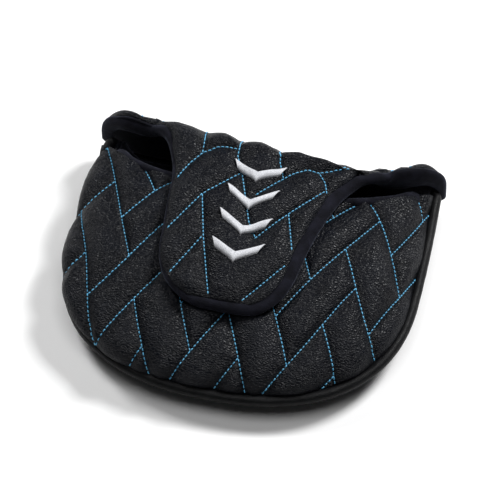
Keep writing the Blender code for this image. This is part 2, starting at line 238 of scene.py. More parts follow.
def base_edges(x):
    """Lowest and highest point of the standing part of the flap, at x."""
    edge = smooth((np.abs(x) - EAR_FROM) / (BASE_HALF_WIDTH - EAR_FROM))
    low = BASE_BOTTOM + (EAR_BOTTOM - BASE_BOTTOM) * edge
    corner = np.clip((np.abs(x) - BASE_HALF_WIDTH) / EAR_CORNER + 1.0, 0.0, 0.98)
    rounded = EAR_CORNER * (1.0 - np.sqrt(1.0 - corner**2))
    return low + 0.5 * rounded, BASE_TOP - (BASE_TOP - EAR_TIP_TOP) * edge**4 - rounded


def base_y(x, z):
    climb = np.maximum(0.0, (z - BASE_BOTTOM) / (BASE_TOP - BASE_BOTTOM)) ** LEAN_POWER
    return REAR_Y - lean(x) * climb


def base_point(u, v, depth=0.0):
    x = (2.0 * u - 1.0) * (BASE_HALF_WIDTH - EDGE_ROLL / 2)
    low, high = base_edges(x)
    z = low + (high - EDGE_ROLL / 4 - low) * v
    return np.stack([x, base_y(x, z) - depth, z], -1)


def tongue_half(t):
    flare = (TONGUE_ROOT_HALF - TONGUE_HALF) * np.exp(-t / NOTCH_FADE)
    past = np.maximum(0.0, (t - TONGUE_ROUND_FROM) / (1.0 - TONGUE_ROUND_FROM))
    return (TONGUE_HALF + flare) * np.maximum(0.0, 1.0 - past**TIP_POWER) ** (1.0 / TIP_ROOT)


def tongue_z(x, y):
    return crown_height(x, y) + TONGUE_CLEARANCE + FLAP_THICKNESS


def bezier(points, t):
    a, b, c, d = points
    s = 1.0 - t
    return a * s**3 + 3 * b * s * s * t + 3 * c * s * t * t + d * t**3


def flap_over(x, s, depth=0.0):
    """The flap's outer face: s below 0 runs down the tongue, 0 to ARCH_LENGTH over the fold."""
    x, s = np.broadcast_arrays(np.asarray(x, float), np.asarray(s, float))
    y = TONGUE_START + np.minimum(s, 0.0)
    tongue = np.stack([x, y, tongue_z(x, y) - depth], -1)
    turn = np.clip(1.0 - s / ARCH_LENGTH, 0.0, 1.0)
    start_y, start_z = REAR_Y - lean(x) - depth, BASE_TOP
    end_z = tongue_z(x, np.full_like(x, TONGUE_START)) - depth
    tightness = 1.0 - ARCH_TIGHTENS * depth / FLAP_THICKNESS
    slope = lean(x) * LEAN_POWER / (BASE_TOP - BASE_BOTTOM)
    rise = ARCH_PULL_UP * tightness
    back = TONGUE_START + ARCH_PULL_BACK * tightness
    arch_y = bezier((start_y, start_y - slope * rise, back, TONGUE_START), turn)
    arch_z = bezier((start_z, start_z + rise, end_z + ARCH_PULL_OVER * tightness, end_z), turn)
    arch = np.stack([x, arch_y, arch_z], -1)
    base_z = BASE_TOP - np.maximum(0.0, s - ARCH_LENGTH)
    base = np.stack([x, base_y(x, base_z) - depth, base_z], -1)
    on_tongue, on_base = (s < 0.0)[..., None], (s > ARCH_LENGTH)[..., None]
    return np.where(on_tongue, tongue, np.where(on_base, base, arch))


def flap_half(s):
    """Half the width of the tongue panel, at s along it."""
    t = np.clip(-s / (TONGUE_START - TONGUE_END), 0.0, 1.0)
    over = np.clip(s / ARCH_LENGTH, 0.0, 1.0)
    return tongue_half(t) - EDGE_ROLL / 2 + (ARCH_ROOT_HALF - TONGUE_ROOT_HALF) * over**2


def tongue_s(v):
    """Where v on the tongue panel is, in flap_over's s."""
    return ARCH_LENGTH - v * (ARCH_LENGTH + (TONGUE_START - TONGUE_END) * TONGUE_PANEL_SHARE)


def tongue_panel(u, v, depth=0.0):
    """The tongue's surface: v 0 is its seam to the base behind the fold, v 1 is the tip.
    tuck pulls its right edge in under the plush roll, and shift moves its left edge out."""
    s = tongue_s(v)
    along = -s / (TONGUE_START - TONGUE_END)
    tuck = TIP_TUCK * smooth((along - 0.2) / 0.5) + RIGHT_HEM * smooth((along + 0.05) / 0.25)
    shift = LEFT_OVERHANG * smooth((along - 0.1) / 0.3)
    half = flap_half(s)
    pulled = (tuck * u + shift * (1 - u)) * np.minimum(1.0, half / TONGUE_HALF)
    return flap_over((2.0 * u - 1.0) * half - pulled, s, depth)


def tongue_sides(v):
    """x of the tongue panel's left and right edges, at v along it."""
    return tongue_panel(np.zeros_like(v), v)[:, 0], tongue_panel(np.ones_like(v), v)[:, 0]


# ---------------------------------------------------------------- meshes


def make_object(name, points, faces, material):
    """An object of points drawn from the mouth line."""
    mesh = bpy.data.meshes.new(name)
    placed = np.asarray(points, float) + np.array([0.0, MOUTH, 0.0])
    mesh.from_pydata(placed.tolist(), [], [list(map(int, f)) for f in faces])
    bm = bmesh.new()
    bm.from_mesh(mesh)
    bmesh.ops.recalc_face_normals(bm, faces=bm.faces)
    bm.to_mesh(mesh)
    bm.free()
    mesh.shade_smooth()
    mesh.materials.append(material)
    obj = bpy.data.objects.new(name, mesh)
    bpy.context.scene.collection.objects.link(obj)
    return obj


def set_attribute(obj, name, values):
    attribute = obj.data.attributes.new(name, "FLOAT", "POINT")
    attribute.data.foreach_set("value", np.asarray(values, np.float32))


def zipper(first, second):
    """Triangles between two rows of points that may differ in number."""
    faces, i, j = [], 0, 0
    last_i, last_j = len(first) - 1, len(second) - 1
    while i < last_i or j < last_j:
        if j == last_j or (i < last_i and (i + 1) / last_i <= (j + 1) / last_j):
            faces.append((first[i], second[j], first[i + 1]))
            i += 1
        else:
            faces.append((first[i], second[j], second[j + 1]))
            j += 1
    return faces


def lengths_along(points):
    """The length of a polyline up to each of its points."""
    return np.concatenate([[0.0], np.cumsum(np.linalg.norm(np.diff(points, axis=0), axis=1))])


def arc(points):
    return float(np.linalg.norm(np.diff(points, axis=0), axis=1).sum())


def resampled(points, step):
    """The polyline with a point every step."""
    along = lengths_along(points)
    at = np.arange(0.0, along[-1], step)
    return np.stack([np.interp(at, along, points[:, k]) for k in range(3)], -1)


def fan(point, step):
    """(u, v, faces, border) of a D drawn in rings round the middle of the mouth line."""
    fine = np.linspace(0.0, 1.0, 4001)
    ray = point(np.full_like(fine, 0.5), fine)
    along = lengths_along(ray)
    count = int(round(along[-1] / step))
    shares = np.interp(np.linspace(0.0, along[-1], count + 1), along, fine)
    us, vs, rows = [np.array([0.5])], [np.array([0.0])], [[0]]
    total = 1
    for share in shares[1:]:
        ring = point(np.linspace(0.0, 1.0, 181), np.full(181, share))
        number = max(4, int(round(arc(ring) / step)))
        us.append(np.linspace(0.0, 1.0, number + 1))
        vs.append(np.full(number + 1, share))
        rows.append(list(range(total, total + number + 1)))
        total += number + 1
    faces = [(0, a, b) for a, b in zip(rows[1], rows[1][1:])]
    for inner, outer in zip(rows[1:], rows[2:]):
        faces += zipper(inner, outer)
    border = [row[0] for row in rows[:-1]] + rows[-1] + [row[-1] for row in rows[-2:0:-1]]
    return np.concatenate(us), np.concatenate(vs), faces, border


def grid(us, vs):
    """(u, v, faces, border) of a four-sided panel."""
    u, v = np.meshgrid(us, vs, indexing="ij")
    index = np.arange(u.size).reshape(u.shape)
    corners = (index[:-1, :-1], index[1:, :-1], index[1:, 1:], index[:-1, 1:])
    faces = np.stack([c.ravel() for c in corners], -1).tolist()
    border = [*index[:, 0], *index[-1, 1:], *index[-2::-1, -1], *index[0, -2:0:-1]]
    return u.ravel(), v.ravel(), faces, [int(i) for i in border]


def closed(outer, inner, faces, border):
    """Points and faces of a closed sheet between two faces that share their layout."""
    count = len(outer)
    wall = [(a, b, b + count, a + count) for a, b in zip(border, border[1:] + border[:1])]
    back = [tuple(i + count for i in reversed(f)) for f in faces]
    return np.concatenate([outer, inner]), [tuple(f) for f in faces] + back + wall


def crossed(points, faces):
    """The triangles of the faces, and for each a normal as long as twice its area."""
    tri = np.array([(f[0], f[k], f[k + 1]) for f in faces for k in range(1, len(f) - 1)])
    a, b, c = (points[tri[:, k]] for k in range(3))
    return tri, np.cross(b - a, c - a)


def normals_of(points, faces):
    tri, flat = crossed(points, faces)
    total = np.zeros_like(points)
    for k in range(3):
        np.add.at(total, tri[:, k], flat)
    return total / np.maximum(np.linalg.norm(total, axis=1), 1e-12)[:, None]


def outward(points, faces, direction):
    """The faces, all turned round if they point against a direction on the whole."""
    along = (normals_of(points, faces) @ np.asarray(direction, float)).sum()
    return faces if along > 0 else [tuple(reversed(f)) for f in faces]


def facing(normals, direction):
    """The normals, turned so that they point along a direction on the whole."""
    return normals if (normals @ np.asarray(direction, float)).sum() > 0 else -normals


def tree_of(points, faces, direction):
    """A ray-casting tree of a face whose normals point along a direction."""
    faces = outward(points, faces, direction)
    return BVHTree.FromPolygons(points.tolist(), [tuple(map(int, f)) for f in faces])


def field(points, size, seed):
    """Smooth noise from -1 to 1 with features of a size."""
    shift = Vector((seed * 7.3, seed * 3.1, seed * 5.7))
    return np.array([noise.noise(Vector(p) / size + shift) for p in points])


# ---------------------------------------------------------------- quilting


def nearest(points, lines):
    """How far each point is from the nearest line, and how far along the lines that is."""
    rows = [resampled(line, SEAM_STEP) for line in lines]
    tree = KDTree(sum(len(row) for row in rows))
    along = []
    for number, row in enumerate(rows):
        for k, p in enumerate(row):
            tree.insert(p, len(along))
            along.append(k * SEAM_STEP + number * ROW_SHIFT)
    tree.balance()
    hits = [tree.find(p) for p in points]
    return np.array([h[2] for h in hits]), np.array([along[h[1]] for h in hits])


def quilt_offsets(points, seams):
    """How far each point is raised along its normal, and how near it is to a row of stitches, which is the
    mask of the painted seam shade.
    The raise is a puff between rows, a crease along each, puckers beside it, and slow unevenness."""
    away, place = nearest(points, seams)
    side = field(points, 9.0 * MM, 1)
    raised = PUFF * (1.0 - np.exp(-away / PUFF_FADE)) - SINK
    raised -= CREASE * np.exp(-((away / CREASE_WIDTH) ** 2))
    turn = 2 * pi * place / PUCKER_PERIOD
    waves = np.sin(turn + 4.0 * side) + np.sin(turn / SHORT_PUCKER + 9.0 * side)
    near = np.exp(-away / PUCKER_FADE) * (1.0 - np.exp(-away / CREASE_WIDTH))
    raised += PUCKER * waves * near
    raised += UNEVEN * side + UNEVEN_FINE * field(points, 4.0 * MM, 2)
    # The second value is the mask of the painted shade along the rows of stitches.
    return raised, np.exp(-away / SEAM_SHADE_FADE)


def runs(points, keep):
    """The stretches of a polyline where keep is true."""
    ends = np.flatnonzero(np.diff(np.concatenate([[0], keep, [0]])))
    return [points[a:b] for a, b in zip(ends[::2], ends[1::2]) if b - a > SHORTEST_RUN]


def herringbone(origin, diagonal, steep):
    """Straight rows of a herringbone: each runs for three cells and ends on another row."""
    origin, diagonal, steep = (np.array(v) for v in (origin, diagonal, steep))
    lines = []
    cells = range(-HERRINGBONE_CELLS, HERRINGBONE_CELLS + 1)
    for i in cells:
        for j in cells:
            first = origin + (2 * j - i) * diagonal + (2 * j + i) * steep
            second = first + 2 * diagonal
            lines.append((first, first + 3 * diagonal))
            lines.append((second, second + 3 * steep))
    return lines


def crown_seams():
    """Rows of stitches on the crown: straight on the leather before it was bent over the dome."""
    origin, diagonal, steep = (17.1 * MM, -70.5 * MM), (9.04 * MM, 18.65 * MM), (6.8 * MM, -17.83 * MM)
    shares = np.linspace(0.0, 1.0, 400)
    seams = []
    for start, end in herringbone(origin, diagonal, steep):
        t = np.linspace(0.0, 1.0, 140)[:, None]
        flat = start * (1 - t) + end * t
        flat[:, 0] *= 1 + SEAM_SPREAD * smooth((-flat[:, 1] - SPREAD_FROM) / SPREAD_OVER)
        angle = np.arctan2(-flat[:, 1], flat[:, 0])
        inside = (flat[:, 1] < -0.5 * MM) & (np.hypot(*flat.T) < 1.3 * D_LENGTH)
        if not inside.any():
            continue
        angle = np.clip(angle, 0.0, pi)
        radius = shares[None, :] * reach(angle)[:, None]
        seam = seam_height(-radius * np.sin(angle)[:, None])
        height = seam + (CROWN_TOP - seam) * dome(shares)[None, :]
        pieces = np.hypot(np.diff(radius, axis=1), np.diff(height, axis=1))
        length = np.concatenate([np.zeros((len(t), 1)), np.cumsum(pieces, axis=1)], axis=1)
        wanted = np.hypot(*flat.T)
        inside &= wanted < length[:, -1] - 0.8 * MM
        v = np.array([np.interp(w, row, shares) for w, row in zip(wanted, length)])
        seams += runs(crown_point(angle / pi, v), inside)
    return seams


# ---------------------------------------------------------------- stitches


def tube_faces(start, rings, sides):
    """The walls of a tube whose points are numbered from start, ring after ring."""
    faces = []
    for k in range(rings - 1):
        a = start + k * sides
        b = a + sides
        faces += [(a + m, a + (m + 1) % sides, b + (m + 1) % sides, b + m) for m in range(sides)]
    return faces


def bars(paths, normals, radii, sides):
    """Points and faces of round bars along short paths, with closed ends."""
    count, stations = paths.shape[:2]
    along = np.gradient(paths, axis=1)
    along /= np.linalg.norm(along, axis=2, keepdims=True)
    side = np.cross(along, normals)
    side /= np.linalg.norm(side, axis=2, keepdims=True)
    up = np.cross(side, along)
    turn = 2 * pi * np.arange(sides) / sides
    rings = (
        paths[:, :, None, :]
        + side[:, :, None, :] * (np.cos(turn)[:, None] * radii[:, None, None])[None]
        + up[:, :, None, :] * (np.sin(turn)[:, None] * radii[:, None, None])[None]
    )
    points = rings.reshape(-1, 3)
    faces = []
    for n in range(count):
        start = n * stations * sides
        faces += tube_faces(start, stations, sides)
        faces.append(tuple(range(start + sides - 1, start - 1, -1)))
        faces.append(tuple(range(start + (stations - 1) * sides, start + stations * sides)))
    return points, faces


def stitches(name, seams, outer, skin, faces, direction):
    """Short arched bars of thread along each seam. outer is the flat panel's face and skin the
    stuffed one's: each bar is straight, and lies on the skin, along the flat panel's normal."""
    panel, skin = tree_of(outer, faces, direction), tree_of(skin, faces, direction)
    shares = np.array([0.0, 0.2, 0.5, 0.8, 1.0])
    lift = np.array([-0.30, 0.06, 0.14, 0.06, -0.30]) * MM
    radii = np.array([0.62, 0.95, 1.0, 0.95, 0.62]) * THREAD_RADIUS
    above = 5.0 * MM
    paths, ups = [], []
    for seam in seams:
        along = lengths_along(seam)
        number = int(along[-1] / STITCH_PERIOD)
        for k in range(number):
            at = (k + 0.5) * along[-1] / number + (shares - 0.5) * STITCH_LENGTH
            bar = np.stack([np.interp(at, along, seam[:, c]) for c in range(3)], -1)
            normal = np.array(panel.find_nearest(Vector(bar[2]))[1])
            heights = []
            for p in bar[1:4]:
                hit = skin.ray_cast(Vector(p + normal * above), Vector(-normal), 2 * above)
                if hit[0] is not None:
                    heights.append(above - hit[3])
            if heights:
                paths.append(bar + (max(heights) + lift)[:, None] * normal)
                ups.append(np.tile(normal, (5, 1)))
    thread = make_object(name, *bars(np.array(paths), np.array(ups), radii, 6), BLUE_THREAD)
    return thread


# ---------------------------------------------------------------- materials


def new_material(name):
    material = bpy.data.materials.new(name)
    material.use_nodes = True
    tree = material.node_tree
    return material, tree, tree.nodes["Principled BSDF"]


def set_inputs(tree, node, values):
    """Gives each of the inputs a constant or another node's output."""
    for key, value in values.items():
        if isinstance(value, bpy.types.NodeSocket):
            tree.links.new(value, node.inputs[key])
        else:
            node.inputs[key].default_value = value


def add(tree, kind, **settings):
    """A new node with its properties and inputs."""
    node = tree.nodes.new(kind)
    for key, value in settings.items():
        if key in node.inputs:
            set_inputs(tree, node, {key: value})
        else:
            setattr(node, key, value)
    return node


def object_place(tree):
    return add(tree, "ShaderNodeTexCoord").outputs["Object"]


def sized_noise(tree, place, size, detail):
    return add(tree, "ShaderNodeTexNoise", Vector=place, Scale=1.0 / size, Detail=detail).outputs["Fac"]


def rgba(colour, factor=1.0):
    return (*(c * factor for c in colour), 1.0)


def grey(value):
    return (value, value, value)


def ramp(tree, source, stops):
    node = add(tree, "ShaderNodeValToRGB", Fac=source)
    elements = node.color_ramp.elements
    while len(elements) < len(stops):
        elements.new(0.5)
    for element, (place, colour) in zip(elements, stops):
        element.position = place
        element.color = rgba(colour)
    return node.outputs["Color"]


def mixed(tree, factor, first, second):
    node = add(tree, "ShaderNodeMix", data_type="RGBA", Factor=factor, A=first, B=second)
    return node.outputs["Result"]


def bump(tree, height, distance, strength, under=None):
    node = add(tree, "ShaderNodeBump", Strength=strength, Distance=distance, Height=height)
    if under is not None:
        set_inputs(tree, node, {"Normal": under})
    return node.outputs["Normal"]


def leather_material(name, colour, pebble, roughness, depth, gloss_level):
    """Black grained leather: warped pebbles drawn out along X, with creases between them, and painted shade
    along the rows of stitches.
    """
    material, tree, shader = new_material(name)
    place = object_place(tree)
    warp = add(tree, "ShaderNodeTexNoise", Vector=place, Scale=0.5 / pebble, Detail=2.0)
    shift = add(tree, "ShaderNodeVectorMath", operation="MULTIPLY_ADD")
    set_inputs(tree, shift, {0: warp.outputs["Color"], 1: (1.3 * pebble,) * 3, 2: place})
    drawn = add(tree, "ShaderNodeMapping", Vector=shift.outputs["Vector"], Scale=(0.5, 1.0, 1.0))
    cells = add(tree, "ShaderNodeTexVoronoi", feature="DISTANCE_TO_EDGE", Scale=1.0 / pebble)
    set_inputs(tree, cells, {"Vector": drawn.outputs["Vector"]})
    pebbles = ramp(tree, cells.outputs["Distance"], [(0.0, grey(0.0)), (0.16, grey(0.65)), (0.5, grey(1.0))])
    wide = sized_noise(tree, place, 7.0 * MM, 3.0)
    fine = sized_noise(tree, place, 0.22 * MM, 2.0)
    normal = bump(tree, wide, 0.9 * MM, 0.6)
    normal = bump(tree, pebbles, depth, 1.0, normal)
    normal = bump(tree, fine, 0.03 * MM, 0.5, normal)
    patches = ramp(tree, wide, [(0.3, grey(0.0)), (0.7, grey(1.0))])
    tone = mixed(tree, patches, rgba(colour), rgba(colour, 1.7))
    # Painted shade: along the rows of stitches the colour falls to 0.35 of itself, as if the grooves were in
    # shade.
    near = add(tree, "ShaderNodeAttribute", attribute_name="painted_seam_shade").outputs["Fac"]
    values = {
        "Base Color": mixed(tree, near, tone, rgba(colour, 0.35)),
        "Roughness": mixed(tree, pebbles, rgba(grey(roughness + 0.25)), rgba(grey(roughness))),
        "Normal": normal,
        "Specular IOR Level": gloss_level,
    }
    set_inputs(tree, shader, values)
    return material


def velvet_material(name, colour, sheen):
    """Short plush: near black, brushed into patches, with a soft rim."""
    material, tree, shader = new_material(name)
    place = object_place(tree)
    brushed = sized_noise(tree, place, 4.0 * MM, 3.0)
    pile = sized_noise(tree, place, 0.35 * MM, 2.0)
    light = tuple(c * 2.6 for c in colour)
    values = {
        "Base Color": ramp(tree, brushed, [(0.35, colour), (0.7, light)]),
        "Normal": bump(tree, pile, 0.25 * MM, 0.9, bump(tree, brushed, 0.7 * MM, 0.5)),
        "Roughness": 0.95,
        "Specular IOR Level": 0.12,
        "Sheen Weight": sheen,
        "Sheen Roughness": 0.35,
        "Sheen Tint": (0.30, 0.33, 0.45, 1.0),
    }
    set_inputs(tree, shader, values)
    return material


def thread_material(name, colour, shade, roughness):
    """Twisted polyester thread."""
    material, tree, shader = new_material(name)
    strands = sized_noise(tree, object_place(tree), 0.3 * MM, 1.0)
    values = {
        "Base Color": ramp(tree, strands, [(0.3, shade), (0.65, colour)]),
        "Normal": bump(tree, strands, 0.08 * MM, 0.6),
        "Roughness": roughness,
        "Sheen Weight": 0.2,
    }
    set_inputs(tree, shader, values)
    return material


def metal_material(name):
    """Finely scratched metal."""
    material, tree, shader = new_material(name)
    scratches = sized_noise(tree, object_place(tree), 0.5 * MM, 4.0)
    values = {
        "Base Color": (0.62, 0.62, 0.63, 1.0),
        "Normal": bump(tree, scratches, 0.01 * MM, 0.5),
        "Roughness": ramp(tree, scratches, [(0.3, grey(0.24)), (0.7, grey(0.4))]),
        "Metallic": 1.0,
    }
    set_inputs(tree, shader, values)
    return material


LEATHER = leather_material(
    "grained_leather",
    (0.0009, 0.0014, 0.0032),
    pebble=0.75 * MM,
    roughness=0.30,
    depth=0.21 * MM,
    gloss_level=0.18,
)
PIPING_LEATHER = leather_material(
    "piping_leather",
    (0.0015, 0.0016, 0.0020),
    pebble=0.45 * MM,
    roughness=0.34,
    depth=0.05 * MM,
    gloss_level=0.13,
)
VELVET = velvet_material("edge_velvet", (0.0030, 0.0031, 0.0052), 0.30)
PLUSH_PILE = velvet_material("lining_plush", (0.0022, 0.0023, 0.0040), 0.18)
BLUE_THREAD = thread_material("blue_thread", (0.13, 0.48, 0.74), (0.03, 0.24, 0.47), 0.45)
WHITE_THREAD = thread_material("white_thread", (0.60, 0.61, 0.64), (0.36, 0.37, 0.40), 0.5)
MAGNET_METAL = metal_material("magnet_metal")


# ---------------------------------------------------------------- pieces


def to_left(x):
    """0 in the middle of the cover and to its right, up to 1 at its left side."""
    return smooth(-1.3 * x / HALF_WIDTH)


def tongue_footprint(x, y):
    """1 where the tongue presses on the crown."""
    t = (TONGUE_START - y) / (TONGUE_START - TONGUE_END)
    inside = tongue_half(np.clip(t, 0.0, 0.98)) - np.abs(x)
    return smooth(0.5 + inside / (6 * MM)) * smooth((1.02 - t) / 0.06) * smooth(t / 0.1 + 1.2)


def quilted(name, skin, inner, layout, near=None):
    """A stuffed leather panel between its skin and its inner face. near, if given, is kept on it as the mask
    of the painted seam shade.
    """
    _, _, faces, border = layout
    quilt = make_object(name, *closed(skin, inner, faces, border), LEATHER)
    if near is not None:
        set_attribute(quilt, "painted_seam_shade", np.concatenate([near, np.zeros(len(near))]))
    return quilt


def lining(name, panel, pad, point, layout, across, along, seed=None):
    """A plush lining under a panel's padding; its area and the lengths of two lines over it, across and
    along, are worked out but nothing is done with them.
    With a seed, its pile is pressed down unevenly."""
    u, v, faces, border = layout
    face, pile = point(u, v, pad + LAYER_GAP), point(u, v, pad + LAYER_GAP + PLUSH)
    if seed is not None:
        pile[:, 2] -= PILE_PRESSED * np.abs(field(pile, PILE_PATCH, seed))
    plush = make_object(name, *closed(face, pile, faces, border), PLUSH_PILE)
    area = float(np.linalg.norm(crossed(face, faces)[1], axis=1).sum() / 2)
    arc(across)
    arc(along)
    return plush


def cut_lines(point):
    """The line over a D-shaped panel along its mouth, and the one from there to its far end."""
    across = point(np.repeat([1.0, 0.0], 60), np.abs(np.linspace(-1, 1, 120)))
    return across, point(np.full(80, 0.5), np.linspace(0, 1, 80))


def build_crown():
    seams = crown_seams()
    layout = fan(crown_point, SURFACE_STEP)
    u, v, faces, _ = layout
    outer = crown_point(u, v)
    normals = facing(normals_of(outer, faces), UP)
    raised, near = quilt_offsets(outer, seams)
    to_rim, _ = nearest(outer, [crown_point(np.linspace(0, 1, 600), np.ones(600))])
    at_rim = np.exp(-((to_rim / RIM_FADE) ** 2))
    raised = raised * (1 - at_rim) + RIM_STAND * at_rim
    bulge = SIDE_BULGE * (BULGE_LEAST + (1 - BULGE_LEAST) * to_left(outer[:, 0]))
    raised += bulge * (to_rim / BULGE_AT) * np.exp(1 - to_rim / BULGE_AT)
    pressed = TONGUE_PRESS * tongue_footprint(outer[:, 0], outer[:, 1])
    raised = np.where(raised > 0, raised * (1 - pressed), raised)
    skin = outer + normals * raised[:, None]
    quilt = quilted("crown_quilt", skin, crown_point(u, v, CROWN_PAD), layout, near)
    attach(quilt, "cover")
    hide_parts("crown_leather", "crown_foam")
    thread = stitches("crown_stitches", seams, outer, skin, faces, UP)
    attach(thread, "cover")
    layout = fan(crown_point, 1.8 * MM)
    plush = lining("crown_plush", "crown_quilt", CROWN_PAD, crown_point, layout, *cut_lines(crown_point), 5)
    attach(plush, "cover")
    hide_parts("crown_lining")


def build_sole():
    layout = fan(sole_point, 1.2 * MM)
    u, v, faces, _ = layout
    outer = sole_point(u, v)
    normals = facing(normals_of(outer, faces), DOWN)
    side = smooth((v - SOLE_FLAT_SHARE) / 0.06)
    wrinkles = 0.25 * MM * field(outer, 5 * MM, 3) + 0.12 * MM * field(outer, 2.2 * MM, 4)
    skin = outer + normals * (wrinkles * side)[:, None]
    panel = quilted("sole_panel", skin, sole_point(u, v, SOLE_PAD), layout)
    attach(panel, "cover")
    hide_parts("sole_leather", "sole_foam")
    layout = fan(sole_point, 2.0 * MM)
    plush = lining("sole_plush", "sole_panel", SOLE_PAD, sole_point, layout, *cut_lines(sole_point), 6)
    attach(plush, "cover")
    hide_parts("sole_lining")


def roll(name, path, ups, wide, high, material, sides=14):
    """A soft roll along a path: wide across it and high along the ups, with rounded ends."""
    path, ups = np.asarray(path, float), np.asarray(ups, float)
    wide, high = np.broadcast_to(wide, len(path)), np.broadcast_to(high, len(path))
    ends = np.minimum(np.arange(len(path)), np.arange(len(path))[::-1])
    swell = np.minimum(1.0, 0.35 + 0.25 * ends) * (1 + 0.05 * field(path, 5 * MM, 8))
    along = np.gradient(path, axis=0)
    side = np.cross(along, ups)
    side /= np.linalg.norm(side, axis=1, keepdims=True)
    up = np.cross(side, along)
    up /= np.linalg.norm(up, axis=1, keepdims=True)
    turn = 2 * pi * np.arange(sides) / sides
    rings = (
        path[:, None]
        + side[:, None] * (np.cos(turn)[None] * (wide * swell)[:, None])[..., None]
        + up[:, None] * (np.sin(turn)[None] * (high * swell)[:, None])[..., None]
    )
    points = rings.reshape(-1, 3)
    faces = tube_faces(0, len(path), sides)
    faces += [tuple(range(sides)), tuple(range(len(points) - sides, len(points)))]
    return make_object(name, points, faces, material)


def beside(path, axis, distance):
    """The path, moved sideways in the plane across the axis."""
    along = np.gradient(path, axis=0)
    across = np.cross(axis, along)
    return path - distance * across / np.linalg.norm(across, axis=1, keepdims=True)


def build_edgings():
    """The piping round the seam, with its ends tucked in, and the plush roll of the mouth."""
    angle = np.linspace(PIPING_FROM, pi - PIPING_TO, 420)
    x, y = reach(angle) * np.cos(angle), -reach(angle) * np.sin(angle)
    seam = np.stack([x, y, seam_height(y)], -1)
    tucked = PIPING_OFFSET - LEFT_TUCK * to_left(x)
    path = beside(seam, DOWN, tucked[:, None])
    turn = np.linspace(0.0, 1.6, 9)[1:, None]
    tuck = np.concatenate([1 - np.cos(turn), np.sin(turn), 0.3 * (1 - np.cos(turn))], axis=1) * END_TUCK
    start = path[0] + tuck[::-1] * np.array([-1, 1, 1])
    end = path[-1] + tuck
    path = np.concatenate([start, path, end])
    upright = np.tile(np.array(UP, float), (len(path), 1))
    piping = roll("piping", path, upright, PIPING_RADIUS, PIPING_RADIUS, PIPING_LEATHER, 18)
    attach(piping, "cover")
    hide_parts("piping_cover", "piping_cord")
    share = np.linspace(-MOUTH_ROLL_SHARE, MOUTH_ROLL_SHARE, 160)
    middle = (CROWN_PAD + PLUSH) / 2
    where = np.where(share > 0, 0.0, 1.0)
    edge = crown_point(where, np.abs(share), middle)
    inward = crown_point(where, np.abs(share), middle + MM) - edge
    out = np.cross(np.gradient(edge, axis=0), inward)
    out /= np.linalg.norm(out, axis=1, keepdims=True)
    path = edge + out * MOUTH_ROLL_OFFSET
    radius = MOUTH_ROLL_RADIUS * (1.0 + 0.7 * smooth((np.abs(share) - 0.85) / 0.12))
    lip = roll("mouth_roll", path, -inward, radius, MOUTH_ROLL_HIGH, VELVET)
    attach(lip, "cover")
    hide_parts("mouth_binding")


def edge_drop(inside, depth, width):
    """How far a stuffed panel falls near its edge, inside being the distance to it."""
    share = np.clip(inside / width, 0.0, 1.0)
    return -depth * (1.0 - np.sqrt(1.0 - (1.0 - share) ** 2))


def flap_seams():
    """Rows of stitches on the tongue and over the fold, listed as (x, s) in millimetres."""
    tongue_rows = [
        [(-30, -45), (-17.1, -20), (-5.8, -8.2)],
        [(-17.1, -20), (-12.7, -37), (-8.1, -52), (-4.9, -62)],
        [(-27.5, -67), (-12.7, -37)],
        [(-9.4, 10), (-9, -1), (-5.8, -8.2), (1.3, -28.6), (5.2, -35)],
        [(4.7, -35), (13.8, -22.2), (23.9, -9.3)],
        [(13.8, -22.2), (19.3, -40.5)],
        [(4, -62), (19.3, -40.5), (24.5, -33)],
        [(-29, -19), (-25, -8), (-21.3, -2.2), (-17, 0.6), (-13, 1.5), (-9.1, 1.2)],
        [(1, -17), (6.7, -10.3), (12, -4.4), (16, -1.8), (20.1, -2), (23.2, -6), (24.8, -11), (25.5, -18)],
        [(-22.5, 10), (-21.3, -2.2)],
        [(4.2, 10), (6, -1), (8.8, -8)],
        [(32, 10), (27, 1), (20.1, -2)],
    ]
    seams = []
    for row in tongue_rows:
        flat = resampled(np.array([(x, s, 0.0) for x, s in row]) * MM, 0.8 * MM)
        x, s = flat[:, 0], flat[:, 1]
        v = (ARCH_LENGTH - s) / (ARCH_LENGTH + (TONGUE_START - TONGUE_END) * TONGUE_PANEL_SHARE)
        left, right = tongue_sides(v)
        keep = (x < right - SEAM_MARGIN) & (x > left + SEAM_MARGIN) & (v < SEAM_END)
        seams += runs(flap_over(x, s), keep)
    return seams


def base_seams():
    origin, diagonal, steep = (-9.4 * MM, -8 * MM), (9.0 * MM, 16 * MM), (4.6 * MM, -16 * MM)
    seams = []
    for start, end in herringbone(origin, diagonal, steep):
        t = np.linspace(0.0, 1.0, 120)[:, None]
        flat = start * (1 - t) + end * t
        x, z = flat[:, 0], BASE_TOP + flat[:, 1]
        low, high = base_edges(np.clip(x, -BASE_HALF_WIDTH, BASE_HALF_WIDTH))
        keep = (np.abs(x) < BASE_HALF_WIDTH - 2.6 * MM) & (z < high - 0.2 * MM) & (z > low + 1.5 * MM)
        seams += runs(np.stack([x, base_y(x, z), z], -1), keep)
    return seams


def graded(count, power):
    """Shares from 0 to 1, closer together towards 1."""
    return 1.0 - (1.0 - np.linspace(0.0, 1.0, count + 1)) ** power


